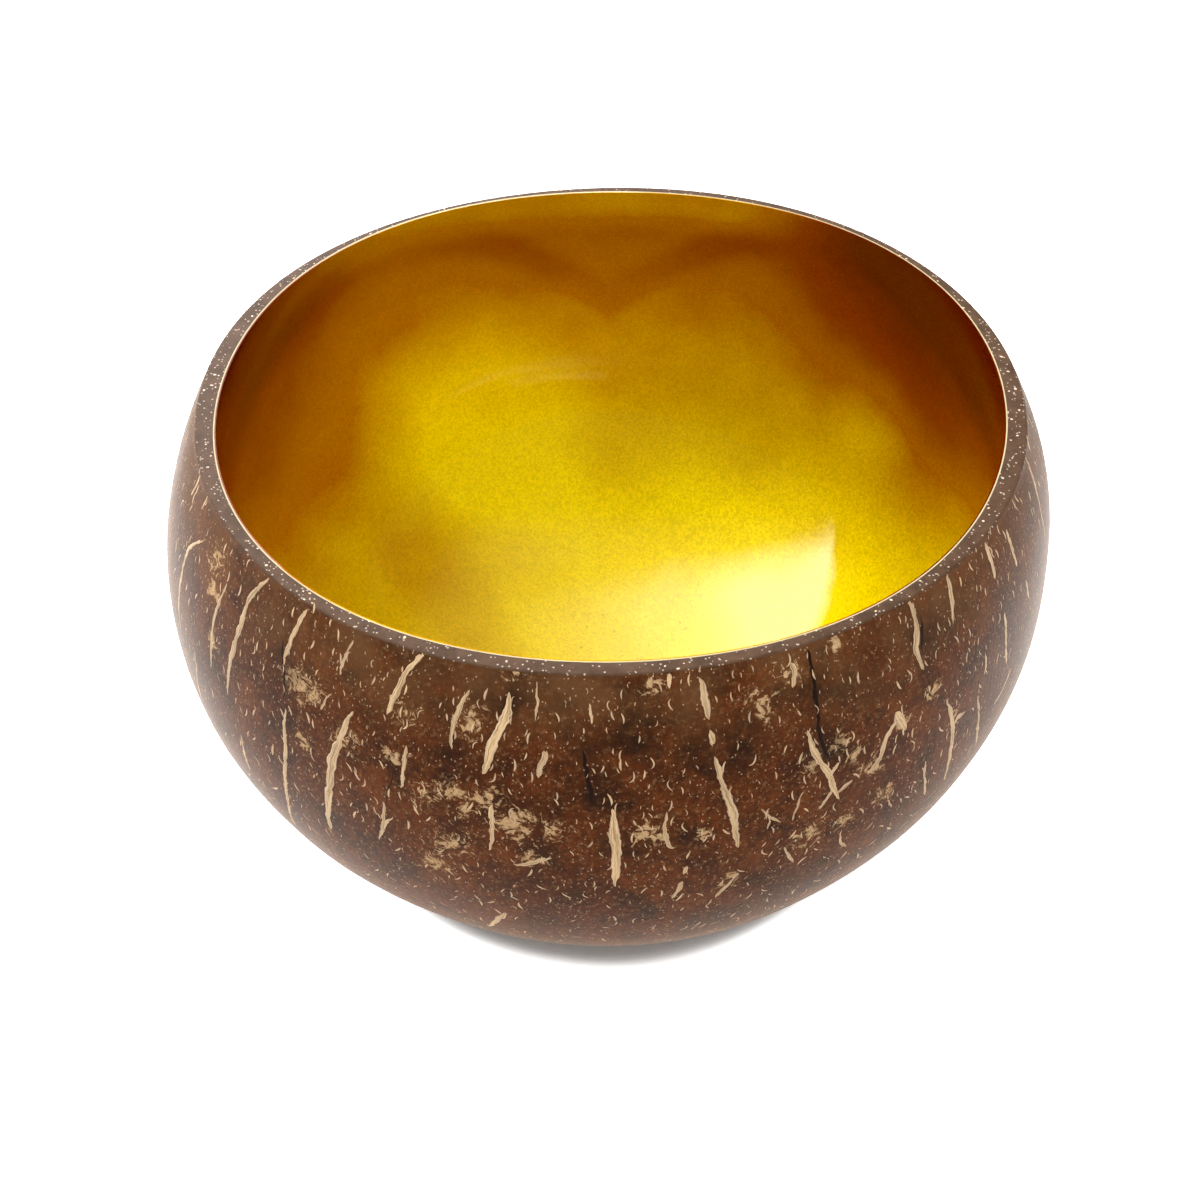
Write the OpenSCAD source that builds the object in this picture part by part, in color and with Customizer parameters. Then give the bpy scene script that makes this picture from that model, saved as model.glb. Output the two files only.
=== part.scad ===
// Coconut shell bowl: the sawn and polished lower part of a nut, lined with an undercoat and a gold lacquer.
// The shell is lofted through rings that carry the slow lobes of a real nut, and the two coats of the
// lining follow the same rings inside it. All three end in one flat sawn rim.
// Millimetres. The origin is at the centre of the sanded foot, Z is up, and bearings are counted from +X.

/* [Shell] */
// Width across the widest girth of the nut
girth_w = 138; // [130:1:160]
// Width across the outside of the sawn rim
rim_w = 124; // [110:1:127]
// Height from the table to the rim
bowl_h = 80; // [70:1:96]
// How far below the rim the widest girth lies
girth_drop = 28; // [20:1:36]
// Depth sanded off the round end of the nut, which leaves the flat foot
sanded_off = 2.3; // [1:0.1:6]
// Fullness of the lower half: 2 is an ellipse, more is squarer
lower_fullness = 2.18; // [2:0.02:2.6]

/* [Wall] */
// Thickness of the shell where the saw crossed it, measured along the flat rim
edge_t = 1.6; // [1.2:0.1:3]
// Thickness of the shell at the girth
girth_t = 2.8; // [2:0.1:5]
// Thickness of the shell at the middle of the foot
foot_t = 3.8; // [2.5:0.1:6]
// Radius sanded on the outer edge of the rim
edge_ease = 0.5; // [0.2:0.1:0.6]

/* [Lining] */
// Thickness of the pale undercoat
undercoat_t = 0.4; // [0.2:0.1:0.8]
// Thickness of the gold lacquer over it
lacquer_t = 0.25; // [0.15:0.05:0.5]

/* [Rim outline] */
// Share of the radius by which the rim sits off the axis of the foot
rim_offset_share = 0.01; // [0:0.001:0.02]
// Bearing of that offset, in degrees
rim_offset_bearing = -54; // [-180:1:180]
// Share of the radius by which the rim is oval
rim_oval_share = 0.02; // [0:0.001:0.03]
// Bearing of the long way of the oval, in degrees
rim_oval_bearing = 10; // [-90:1:90]
// Share of the radius in the three ridges of the nut at the rim
rim_ridge_share = 0.0035; // [0:0.0005:0.01]
// Bearing of the first ridge at the rim, in degrees
rim_ridge_bearing = 24; // [-60:1:60]
// Share of the radius by which the rim is squared
rim_square_share = 0.005; // [0:0.001:0.01]
// Bearing of the first corner of that square, in degrees
rim_square_bearing = -34; // [-45:1:45]

/* [Girth outline] */
// Share of the radius by which the girth is oval
girth_oval_share = 0.009; // [0:0.001:0.02]
// Bearing of the long way of that oval, in degrees
girth_oval_bearing = 29; // [-90:1:90]
// Share of the radius in the three ridges of the nut at the girth
girth_ridge_share = 0.003; // [0:0.0005:0.01]
// Bearing of the first ridge at the girth, in degrees
girth_ridge_bearing = -4; // [-60:1:60]
// Share of the radius by which the girth is squared
girth_square_share = 0.009; // [0:0.001:0.012]
// Bearing of the first corner of that square, in degrees
girth_square_bearing = 6; // [-45:1:45]

/* [Uneven wall] */
// Share by which one side of the rim is thicker than its mean
wall_side_share = 0.25; // [0:0.05:0.3]
// Bearing of the thick side, in degrees
wall_side_bearing = -96; // [-180:1:180]
// Share by which the rim is thicker at two opposite places
wall_oval_share = 0.25; // [0:0.05:0.3]
// Bearing of the first of these two places, in degrees
wall_oval_bearing = -2; // [-90:1:90]
// Share by which the rim is thicker at four places
wall_square_share = 0.25; // [0:0.05:0.3]
// Bearing of the first of these four places, in degrees
wall_square_bearing = -9; // [-45:1:45]

/* [Hidden] */
// Points round each ring, rings from the foot to the girth, from there to the rim, and on the eased edge
around = 64;
lower_rings = 11;
upper_rings = 6;
ease_rings = 3;
// Turn at which the inside of the lower half closes with a small flat, where 90 would be a point
inner_turn = 84;

rim_r = rim_w / 2;
girth_r = girth_w / 2;
girth_z = bowl_h - girth_drop;
ease_z = bowl_h - edge_ease;

// One slow wave round the nut: how many crests, how high as a share, and the bearing of the first
function wave(crests, high_share, bearing, a) = high_share * cos(crests * (a - bearing));

function rim_lobes(a) =
    wave(1, rim_offset_share, rim_offset_bearing, a)
    + wave(2, rim_oval_share, rim_oval_bearing, a)
    + wave(3, rim_ridge_share, rim_ridge_bearing, a)
    + wave(4, rim_square_share, rim_square_bearing, a);

function girth_lobes(a) =
    wave(2, girth_oval_share, girth_oval_bearing, a)
    + wave(3, girth_ridge_share, girth_ridge_bearing, a)
    + wave(4, girth_square_share, girth_square_bearing, a);

function wall_lobes(a) =
    wave(1, wall_side_share, wall_side_bearing, a)
    + wave(2, wall_oval_share, wall_oval_bearing, a)
    + wave(4, wall_square_share, wall_square_bearing, a);

// A skin is one surface of the bowl without its lobes: [radius at the rim, radius at the girth,
// height of its lowest point, thickness of shell that lies outside it at the rim]
outside = [rim_r, girth_r, -sanded_off, 0];
bare_inside = [rim_r - edge_t, girth_r - girth_t, foot_t, edge_t];
coated_inside = [
    bare_inside[0] - undercoat_t, bare_inside[1] - undercoat_t, bare_inside[2] + undercoat_t, edge_t];
gold_inside = [
    coated_inside[0] - lacquer_t, coated_inside[1] - lacquer_t, coated_inside[2] + lacquer_t, edge_t];

// Above the girth a skin is part of an ellipse that reaches its own radius at the rim, or part of a
// hyperbola where the rim is wider than the girth
function mean_r(skin, z) =
    z >= girth_z
        ? sqrt(pow(skin[1], 2) - (pow(skin[1], 2) - pow(skin[0], 2)) * pow((z - girth_z) / girth_drop, 2))
        : skin[1] * pow(1 - pow((girth_z - z) / (girth_z - skin[2]), lower_fullness), 1 / lower_fullness);

// 0 at the girth and below it, 1 at the rim, and smooth between them
function toward_rim(z) =
    let (u = max(0, (z - girth_z) / girth_drop)) u * u * (3 - 2 * u);

// Radius of a skin at a bearing and a height
function skin_r(skin, a, z) =
    let (w = toward_rim(z))
    mean_r(skin, z) * (1 + w * rim_lobes(a) + (1 - w) * girth_lobes(a)) - w * skin[3] * wall_lobes(a);

function ring(skin, z) = [
    for (i = [0 : around - 1])
        let (a = 360 * i / around, r = skin_r(skin, a, z))
        [r * cos(a), r * sin(a), z]
];

// Heights of a skin's rings from its lowest one, where it has turned that far from the girth, up to a top
function ring_heights(skin, last_turn, top) = concat(
    [for (k = [lower_rings : -1 : 1]) girth_z - (girth_z - skin[2]) * sin(last_turn * k / lower_rings)],
    [for (k = [0 : upper_rings]) girth_z + (top - girth_z) * k / upper_rings]
);

function inner_sheet(skin) = [for (z = ring_heights(skin, inner_turn, bowl_h)) ring(skin, z)];

// The outer skin ends at the sanded foot below and at the eased edge above
foot_turn = asin(girth_z / (girth_z + sanded_off));
function eased_ring(turn) = [
    for (i = [0 : around - 1])
        let (a = 360 * i / around, r = skin_r(outside, a, ease_z) - edge_ease * (1 - cos(turn)))
        [r * cos(a), r * sin(a), ease_z + edge_ease * sin(turn)]
];
outer_sheet = concat(
    [for (z = ring_heights(outside, foot_turn, ease_z)) ring(outside, z)],
    [for (k = [1 : ease_rings]) eased_ring(90 * k / ease_rings)]
);

// Triangles between the rings of one sheet, the same way split on both sides of a wall
function sheet_faces(first, rings, facing_out) = [
    for (k = [0 : rings - 2], i = [0 : around - 1])
        let (
            j = (i + 1) % around,
            a = first + k * around + i, b = first + k * around + j,
            c = first + (k + 1) * around + j, d = first + (k + 1) * around + i
        )
        each facing_out ? [[a, c, b], [a, d, c]] : [[a, b, c], [a, c, d]]
];

// A wall between two sheets of rings: closed by a flat below each sheet and by the flat rim on top
module wall_between(out_rings, in_rings) {
    outs = len(out_rings);
    ins = len(in_rings);
    first_in = outs * around;
    out_top = (outs - 1) * around;
    in_top = first_in + (ins - 1) * around;
    points = concat(
        [for (r = out_rings) each r],
        [for (r = in_rings) each r]
    );
    faces = concat(
        sheet_faces(0, outs, true),
        sheet_faces(first_in, ins, false),
        [[for (i = [0 : around - 1]) i]],
        [[for (i = [around - 1 : -1 : 0]) first_in + i]],
        [for (i = [0 : around - 1])
            let (j = (i + 1) % around)
            each [[out_top + i, in_top + j, out_top + j], [out_top + i, in_top + i, in_top + j]]]
    );
    polyhedron(points = points, faces = faces, convexity = 4);
}

module coconut_shell() {
    color("#4f2f22") wall_between(outer_sheet, inner_sheet(bare_inside));
}

module undercoat() {
    color("#e5d9b8") wall_between(inner_sheet(bare_inside), inner_sheet(coated_inside));
}

module gold_lacquer() {
    color("#c9a010") wall_between(inner_sheet(coated_inside), inner_sheet(gold_inside));
}

coconut_shell();
undercoat();
gold_lacquer();
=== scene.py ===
# Coconut shell bowl with a gold lacquered lining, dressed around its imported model.
# Metres, in the model's frame: the origin is at the centre of the foot, Z is up, the viewer stands at -Y.
import functools
import math
import random

import bpy
from bpy.props import FloatProperty, FloatVectorProperty, IntProperty, PointerProperty
from mathutils import Matrix, Vector
from mathutils.bvhtree import BVHTree


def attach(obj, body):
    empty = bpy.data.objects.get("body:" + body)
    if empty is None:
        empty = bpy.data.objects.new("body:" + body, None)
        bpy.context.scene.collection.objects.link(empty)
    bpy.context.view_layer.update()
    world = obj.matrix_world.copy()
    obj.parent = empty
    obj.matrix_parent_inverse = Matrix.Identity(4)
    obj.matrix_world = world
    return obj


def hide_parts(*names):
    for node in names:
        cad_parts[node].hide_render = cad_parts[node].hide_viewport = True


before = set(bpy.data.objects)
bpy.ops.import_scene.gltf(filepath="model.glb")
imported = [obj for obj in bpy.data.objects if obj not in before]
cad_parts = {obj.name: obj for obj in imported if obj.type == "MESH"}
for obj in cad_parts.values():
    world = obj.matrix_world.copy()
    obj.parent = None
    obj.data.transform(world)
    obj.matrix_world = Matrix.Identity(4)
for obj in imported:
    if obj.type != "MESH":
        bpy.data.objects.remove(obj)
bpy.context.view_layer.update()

bl_info = {
    "name": "Coconut Shell Bowl",
    "version": (1, 0, 0),
    "blender": (4, 5, 0),
    "location": "3D Viewport > Sidebar > Bowl",
    "description": "Sawn and polished coconut shell, lined with an undercoat and a gold lacquer",
    "category": "Object",
}

MM = 0.001

# Kinds of node. Each is a node's type, alone or with the settings that make it that kind.
RANGE = "ShaderNodeMapRange"
SMOOTH_RANGE = (RANGE, {"interpolation_type": "SMOOTHSTEP"})
BLEND = ("ShaderNodeMix", {"data_type": "RGBA"})
NOISE = "ShaderNodeTexNoise"
VORONOI = "ShaderNodeTexVoronoi"
SEPARATE = "ShaderNodeSeparateXYZ"
COMBINE = "ShaderNodeCombineXYZ"
ATTRIBUTE = "ShaderNodeAttribute"
BUMP = "ShaderNodeBump"
PRINCIPLED = "ShaderNodeBsdfPrincipled"
SURFACE = "ShaderNodeOutputMaterial"
NAMED = "GeometryNodeInputNamedAttribute"
STORE = "GeometryNodeStoreNamedAttribute"
SET_POSITION = "GeometryNodeSetPosition"
SHADE_SMOOTH = "GeometryNodeSetShadeSmooth"
INSTANCE = "GeometryNodeInstanceOnPoints"
SCATTER = "GeometryNodeDistributePointsOnFaces"
NEAREST = ("GeometryNodeSampleNearestSurface", {"data_type": "FLOAT_VECTOR"})
ALIGN = "FunctionNodeAlignRotationToVector"
AXIS_ANGLE = "FunctionNodeAxisAngleToRotation"
RANDOM = "FunctionNodeRandomValue"
ADD, SUBTRACT, MULTIPLY, DIVIDE, MULTIPLY_ADD, POWER, MAXIMUM, ABSOLUTE, FLOOR, SINE, COSINE, ARCTAN2 = (
    ("ShaderNodeMath", {"operation": name}) for name in (
        "ADD", "SUBTRACT", "MULTIPLY", "DIVIDE", "MULTIPLY_ADD", "POWER", "MAXIMUM", "ABSOLUTE", "FLOOR",
        "SINE", "COSINE", "ARCTAN2"))
V_ADD, V_SUBTRACT, V_MULTIPLY, V_SCALE, V_NORMALIZE, V_DISTANCE, V_DOT = (
    ("ShaderNodeVectorMath", {"operation": name}) for name in (
        "ADD", "SUBTRACT", "MULTIPLY", "SCALE", "NORMALIZE", "DISTANCE", "DOT_PRODUCT"))

# Rings below and above the girth on a skin that nothing shows, on the shell's outside and on the lacquer,
# and the rings of the flat foot and of the eased edge
HIDDEN_RINGS = (22, 8)
SHELL_RINGS = (84, 46)
LACQUER_RINGS = (96, 48)
FOOT_RINGS = 12
EASE_RINGS = 5

# Where the swells of the hand sanding begin and where they are whole, from the rim down and from the foot up
RIM_FADE = (0.4 * MM, 5 * MM)
FOOT_FADE = (0.3 * MM, 5 * MM)

# Radius of the nut, in millimetres, at which its grain is as wide as its material says
GRAIN_R = 66.0
# The middle of a noise's or a cell's colour
HALVES = (0.5, 0.5, 0.5)
# Squared radii from the middle of a soft spot past which it is too faint to count
TOO_FAINT = 6.0
# Least half width of a streak, which keeps its ends closed but not sharp
THINNEST = 0.03 * MM
# Height over the foot from which flecks lie on the shell, and depth of the rim that takes fibre ends
FLECK_FREE = 0.6 * MM
RIM_DEPTH = 0.1 * MM

# What lies out of view: bearings in degrees, how many husk patches, stains and cracks, then in millimetres
# the heights and radii of patches and stains, and the tops, drops and lowest end of streaks and cracks
HIDDEN_BEARINGS = (8, 172)
HIDDEN_PATCHES = 30
HIDDEN_STAINS = 16
HIDDEN_CRACKS = 6
SPOT_HEIGHTS = (12, 66)
SPOT_RADII = (1.4, 3.4)
HIDDEN_TOPS = (24, 77)
HIDDEN_DROPS = (5, 26)
LOWEST_END = 8
GOLDEN_SECTION = 0.618034

# Side of the square photograph in its own pixels, in which the places below were read, and side of the
# film in millimetres
PHOTO_SIDE = 1200
FILM_SIDE = 36.0

# The long fibre streaks that the photograph shows: the widest width in millimetres, then the pixels
# that the middle of the streak passes, from the rim towards the foot
FIBRE_STREAKS = (
    (0.7, (203, 471), (197, 484), (191, 496)),
    (0.6, (210, 493), (206, 501), (202, 509)),
    (0.9, (204, 541), (188, 551), (182, 572), (179, 607), (181, 630)),
    (0.8, (227, 582), (219, 603), (213, 626), (211, 668)),
    (1.3, (271, 577), (249, 601), (238, 630), (231, 658), (227, 695)),
    (1.0, (307, 608), (292, 637), (284, 666)),
    (0.6, (352, 640), (346, 657), (339, 675)),
    (1.3, (424, 652), (408, 672), (396, 694), (387, 715)),
    (0.7, (195, 651), (197, 675), (202, 700)),
    (1.0, (286, 708), (285, 750), (286, 784), (295, 825)),
    (1.8, (352, 712), (335, 750), (329, 784), (331, 829)),
    (0.9, (407, 744), (404, 766), (402, 790)),
    (0.9, (384, 802), (383, 820), (380, 841)),
    (0.6, (393, 817), (386, 822), (382, 833)),
    (0.9, (470, 690), (458, 712), (450, 735), (452, 748)),
    (1.9, (508, 692), (507, 711), (497, 736), (482, 775)),
    (1.1, (544, 751), (542, 764), (538, 778)),
    (1.7, (613, 808), (614, 830), (616, 854), (615, 887)),
    (0.9, (668, 811), (665, 833), (669, 846), (675, 847)),
    (1.0, (493, 806), (492, 829), (490, 851)),
    (0.4, (536, 682), (537, 700), (537, 721)),
    (0.5, (590, 704), (592, 714), (593, 724)),
    (0.7, (241, 735), (244, 752), (250, 770)),
    (0.5, (273, 743), (273, 749), (273, 755)),
    (0.6, (330, 693), (325, 701), (320, 709)),
    (1.1, (507, 913), (499, 920), (488, 926)),
    (0.8, (513, 864), (527, 864), (540, 861), (551, 858)),
    (1.1, (682, 881), (677, 890), (671, 898)),
    (0.8, (687, 866), (684, 874)),
    (0.8, (669, 673), (670, 681), (670, 689)),
    (1.3, (700, 680), (704, 698), (708, 718)),
    (1.0, (709, 728), (711, 736), (714, 743)),
    (1.6, (716, 758), (724, 785), (731, 812), (739, 848)),
    (1.4, (791, 661), (794, 674), (792, 688)),
    (1.5, (808, 731), (816, 753), (830, 781), (839, 799)),
    (0.9, (853, 780), (842, 789), (836, 794)),
    (0.9, (838, 762), (832, 772), (829, 781)),
    (0.7, (833, 790), (826, 800), (818, 811)),
    (1.3, (908, 600), (916, 626), (918, 653), (924, 670)),
    (1.7, (895, 714), (902, 722), (907, 729)),
    (1.2, (896, 722), (887, 737), (880, 758), (868, 774)),
    (1.0, (947, 573), (951, 594), (954, 624)),
    (1.3, (985, 544), (991, 560), (995, 576)),
    (0.9, (1006, 529), (1012, 548), (1017, 568)),
    (1.0, (1025, 456), (1034, 482), (1041, 512), (1045, 538)),
    (0.7, (1026, 436), (1028, 443), (1030, 451)),
    (0.8, (1026, 579), (1028, 589), (1029, 599)),
    (0.9, (1004, 612), (1006, 637), (1007, 663)),
    (0.8, (1011, 668), (1003, 688), (993, 706)),
    (1.3, (947, 698), (952, 721), (951, 749), (944, 780)),
    (1.0, (965, 712), (957, 719), (953, 728)),
    (0.9, (978, 696), (979, 721), (975, 747)),
    (0.7, (986, 653), (986, 663), (985, 673)),
    (0.8, (925, 762), (925, 778), (925, 795)),
    (0.8, (738, 873), (727, 884), (715, 898)),
    (0.8, (784, 847), (789, 855), (794, 862)),
    (0.5, (762, 808), (770, 817), (780, 822)),
    (0.5, (800, 795), (795, 810), (792, 820)),
    (0.6, (842, 829), (840, 840), (847, 847)),
)

# Cracks and dark bruises of the shell: the widest width in millimetres and the pixels that they pass
DARK_CRACKS = (
    (0.9, (583, 750), (587, 772), (591, 803)),
    (0.8, (807, 646), (813, 684), (818, 722), (824, 745), (830, 762)),
    (0.7, (283, 640), (283, 672), (284, 700)),
    (0.4, (394, 772), (389, 790), (386, 806)),
    (0.6, (921, 616), (923, 636), (923, 655)),
)

# Fuzzy places where more of the husk is left: the pixel at the middle and the radius in millimetres
HUSK_PATCHES = (
    (297, 683, 3.0), (312, 692, 2.2), (302, 740, 1.8), (344, 740, 1.8), (395, 757, 1.7), (408, 716, 1.8),
    (427, 797, 2.2), (468, 721, 2.2), (452, 790, 2.6), (468, 811, 1.7), (487, 797, 2.0), (452, 840, 2.6),
    (515, 823, 2.8), (519, 832, 1.8), (436, 862, 2.4), (650, 683, 1.5), (649, 834, 2.2), (811, 834, 2.4),
    (843, 820, 1.6), (840, 741, 1.5), (855, 752, 1.6), (810, 765, 1.5), (873, 765, 1.8), (884, 792, 1.6),
    (834, 646, 1.4), (901, 722, 1.6), (730, 880, 1.8), (552, 832, 1.8), (535, 860, 1.8), (482, 930, 1.6),
    (217, 564, 2.2), (213, 590, 1.8), (212, 640, 1.6), (702, 833, 1.2), (956, 716, 1.6), (520, 668, 1.6),
    (768, 708, 2.2), (935, 690, 1.4), (790, 672, 1.8),
)

# Soft dark stains in the shell: the pixel at the middle and the radius in millimetres
DARK_STAINS = (
    (449, 766, 2.4), (455, 748, 1.8), (284, 668, 3.0), (285, 700, 2.6), (588, 775, 3.2), (583, 745, 2.6),
    (814, 690, 2.6), (824, 745, 3.0), (922, 635, 2.8), (595, 800, 2.4), (700, 760, 4.0), (640, 740, 4.5),
    (505, 700, 3.0), (835, 738, 2.2), (740, 740, 3.5),
)

# Nibs of dust in the lacquer: the pixel and the radius in millimetres. Small ones lie at random between
# these columns and rows of the photograph, with these radii. All stand up by one share of their radius.
LACQUER_NIBS = ((600, 535, 0.45), (562, 547, 0.4), (748, 517, 0.3), (671, 417, 0.25), (455, 640, 0.3))
NIB_COLUMNS = (260, 940)
NIB_ROWS = (230, 630)
NIB_RADII = (0.06, 0.16)
NIB_RISE = 0.3

# Painted light and painted shade in soft spots on the lacquer, lighter where the share is above zero, darker
# where it is below: the spot's middle and radius in millimetres, and the share
PAINTED_LIGHT_AND_SHADE_SPOTS = (
    ((-25.0, 54.0, 32.0), 27.0, 0.38), ((47.0, 43.0, 43.0), 13.0, 0.4),
    ((-30.0, 38.0, 14.0), 22.0, -0.32), ((2.0, 55.0, 34.0), 17.0, -0.14))

# Dots, dashes, bent dashes, hooks and bows: the sections of each fleck, where its middle and its end lie in
# half lengths, and its half width
FLECK_KINDS = (
    (2, (0.0, 0.0), (0.1, 1.0), 0.75), (3, (0.12, 0.1), (0.0, 1.0), 0.34),
    (3, (0.25, 0.3), (-0.1, 1.0), 0.26), (4, (0.4, -0.2), (-0.1, 1.0), 0.2),
    (5, (-0.7, 0.5), (0.3, 0.9), 0.15))

# The lamps: place from the middle of the bowl, sides in metres, watts, and whether the gloss mirrors them
LAMPS = {
    "overhead_panel": ((-0.43, 0.19, 1.06), (2.6, 1.25), 90.0, True),
    "back_softbox": ((-0.56, 0.97, 0.70), (1.3, 0.55), 17.0, True),
    "front_softbox": ((0.1, -1.20, 0.80), (1.4, 0.8), 5.6, False),
    "high_lamp": ((0.31, -0.26, 1.13), (0.5, 0.5), 8.8, False)}


def linear(hex_colour):
    """Turns an sRGB hex colour into the linear RGBA that shaders work in."""
    parts = [int(hex_colour[k:k + 2], 16) / 255 for k in (1, 3, 5)]
    return (*[p / 12.92 if p <= 0.04045 else ((p + 0.055) / 1.055) ** 2.4 for p in parts], 1.0)


def length(name, description, millimetres):
    """A length property, kept in metres."""
    return FloatProperty(
        name=name, description=description, default=millimetres * MM, min=0.0, precision=5,
        unit="LENGTH", subtype="DISTANCE")


def colour(name, description, hex_colour):
    """A colour property, kept in linear values."""
    return FloatVectorProperty(
        name=name, description=description, default=linear(hex_colour), size=4, min=0.0, max=1.0,
        subtype="COLOR")


def shares(name, description, *values):
    """A row of shares, one for each wave."""
    return FloatVectorProperty(
        name=name, description=description, default=values, size=len(values), precision=4)


def bearings(name, description, *degrees):
    """A row of bearings counted from +X, one for each wave."""
    return FloatVectorProperty(
        name=name, description=description, default=[math.radians(d) for d in degrees], size=len(degrees),
        unit="ROTATION")


class BowlForm(bpy.types.PropertyGroup):
    """Sizes of the sawn nut and of its two coats"""
    girth_w: length("Girth width", "Width across the widest girth of the nut", 138)
    rim_w: length("Rim width", "Width across the outside of the sawn rim", 124)
    bowl_h: length("Height", "Height from the table to the rim", 80)
    girth_drop: length("Girth drop", "How far below the rim the widest girth lies", 28)
    sanded_off: length("Sanded off", "Depth sanded off the round end of the nut", 2.3)
    lower_fullness: FloatProperty(
        name="Lower fullness", description="2 is an ellipse, more is squarer", default=2.18, min=2.0,
        max=2.6)
    edge_t: length("Edge thickness", "Thickness of the shell where the saw crossed it", 1.85)
    girth_t: length("Girth thickness", "Thickness of the shell at the girth", 3.05)
    foot_t: length("Foot thickness", "Thickness of the shell at the middle of the foot", 4.05)
    edge_ease: length("Edge ease", "Radius sanded on the outer edge of the rim", 0.5)
    undercoat_t: length("Undercoat thickness", "Thickness of the pale undercoat", 0.2)
    lacquer_t: length("Lacquer thickness", "Thickness of the gold lacquer", 0.2)
    rim_shares: shares("Rim lobes", "Waves of one to four crests at the rim", 0.01, 0.02, 0.0035, 0.005)
    rim_bearings: bearings("Rim lobe bearings", "Bearing of each wave's first crest", -54, 10, 24, -34)
    girth_shares: shares("Girth lobes", "Waves of one to four crests at the girth", 0.0, 0.009, 0.003, 0.009)
    girth_bearings: bearings("Girth lobe bearings", "Bearing of each wave's first crest", 0, 29, -4, 6)
    wall_shares: shares("Wall lobes", "Waves of the wall's thickness at the rim", 0.25, 0.25, 0.0, 0.25)
    wall_bearings: bearings("Wall lobe bearings", "Bearing of each wave's first crest", -96, -2, 0, -9)
    around: IntProperty(name="Around", description="Points round each ring", default=480, min=64, max=720)
    unevenness: length("Unevenness", "Height of the gentle swells that hand sanding leaves", 0.13)
    swell: length("Swell", "Distance from one swell to the next", 26)


class FibreForm(bpy.types.PropertyGroup):
    """Sizes of the husk fibres that stayed in the shell"""
    spacing: length("Spacing", "Distance between the sections of a streak", 0.35)
    wander: length("Wander", "How far a streak wanders from its line", 0.35)
    rag: length("Ragged edge", "How far the edge of a streak is ragged", 0.15)
    rise_share: FloatProperty(
        name="Rise", description="Height of a streak over the shell as a share of its half width",
        default=0.07, min=0.0, max=0.3)
    hidden_streaks: IntProperty(
        name="Streaks out of view", description="Streaks on the side that the photograph hides", default=50,
        min=0)
    fleck_gap: length("Fleck gap", "Least distance between two flecks", 0.8)
    fleck_density: FloatProperty(
        name="Flecks", description="Flecks per square metre of shell", default=260000.0, min=0.0)
    fleck_l: length("Fleck length", "Length of the longest flecks", 2.0)
    fleck_rise: length("Fleck rise", "How far a fleck stands out of the shell", 0.1)
    end_density: FloatProperty(
        name="Fibre ends", description="Fibre ends per square metre of sawn rim", default=230000.0, min=0.0)
    end_w: length("Fibre end width", "Mean width of a fibre end in the sawn rim", 0.3)
    end_rise: length("Fibre end rise", "How far a fibre end stands out of the rim", 0.06)
    seed: IntProperty(name="Seed", description="Seed of what lies at random", default=11)


class ShellFinish(bpy.types.PropertyGroup):
    """Colours of the shell, its fibres and its cut"""
    dark: colour("Dark shell", "Darkest brown of the polished shell", "#281105")
    brown: colour("Shell", "Middle brown of the polished shell", "#51250d")
    red: colour("Red shell", "Reddish brown of the polished shell", "#6e3915")
    film: colour("Film", "Greyish skin left near the rim and the foot", "#64462c")
    husk: colour("Husk", "Fuzzy tan husk left in patches", "#b08d66")
    streak: colour("Streak", "Long tan fibre streaks", "#d4b68c")
    streak_line: colour("Streak line", "Darker lines inside a streak", "#7d6038")
    streak_edge: colour("Streak edge", "Paler edge of a streak", "#ecdabe")
    fleck: colour("Fleck", "Short pale fibres", "#d8b898")
    crack: colour("Crack", "Cracks and bruises", "#1a0c07")
    cut: colour("Sawn edge", "Sanded cut of the shell", "#5a4436")
    cut_dark: colour("Sawn edge, dark", "Darker rings in the cut", "#403025")
    fibre_end: colour("Fibre ends", "Pale fibre ends in the cut", "#efe2cf")


class LiningFinish(bpy.types.PropertyGroup):
    """Colours of the two coats"""
    cream: colour("Undercoat", "Cream primer", "#c6ba90")
    gold: colour("Gold", "Metallic lacquer", "#f6de00")
    # Amber, rust and brown are painted shade: the gold turns to them up the walls and on the sides
    amber: colour("Amber", "Metallic lacquer where it lies thick", "#b26c00")
    rust: colour("Rust", "Metallic lacquer where it lies thicker still", "#8c2e00")
    brown: colour("Brown", "Metallic lacquer where it lies thickest, on the sides", "#621200")
    small_nibs: IntProperty(name="Small nibs", description="Specks of dust in the lacquer", default=60, min=0)
    nib_seed: IntProperty(name="Seed", description="Seed of where the dust lies", default=7)


class StudioSetting(bpy.types.PropertyGroup):
    """The camera, the lamps and the floor"""
    camera_place: FloatVectorProperty(
        name="Camera place", description="Where the camera stands", default=(0.0, -0.2803, 0.2896), size=3,
        subtype="TRANSLATION", unit="LENGTH")
    camera_fall: FloatProperty(
        name="Camera fall", description="How far the camera looks down", default=math.radians(41.89),
        unit="ROTATION")
    camera_pan: FloatProperty(
        name="Camera pan", description="How far the camera looks to one side", default=math.radians(-0.201),
        unit="ROTATION")
    lens: FloatProperty(name="Lens", description="Focal length", default=68.44, unit="CAMERA")
    floor: colour("Floor", "White studio floor", "#f2f2f2")
    floor_bounce: colour("Floor bounce", "The floor as it lights the bowl", "#d8d0c6")
    floor_gloss: colour("Floor in the gloss", "The floor as the shell's gloss mirrors it", "#ffe8d0")
    sky: colour("Sky", "Light of the white room", "#ffffff")
    sky_strength: FloatProperty(name="Sky strength", description="Strength of the room's light", default=0.04)
    floor_lift: FloatProperty(
        name="Floor lift", description="How much whiter the floor shows than the lamps make it", default=0.85)
    floor_mirrored: FloatProperty(
        name="Mirrored floor lift", description="The same in what the gloss mirrors", default=0.75)
    shadow_reach: length("Shadow reach", "How far from the bowl its contact shadow reaches", 8.1)


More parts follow.
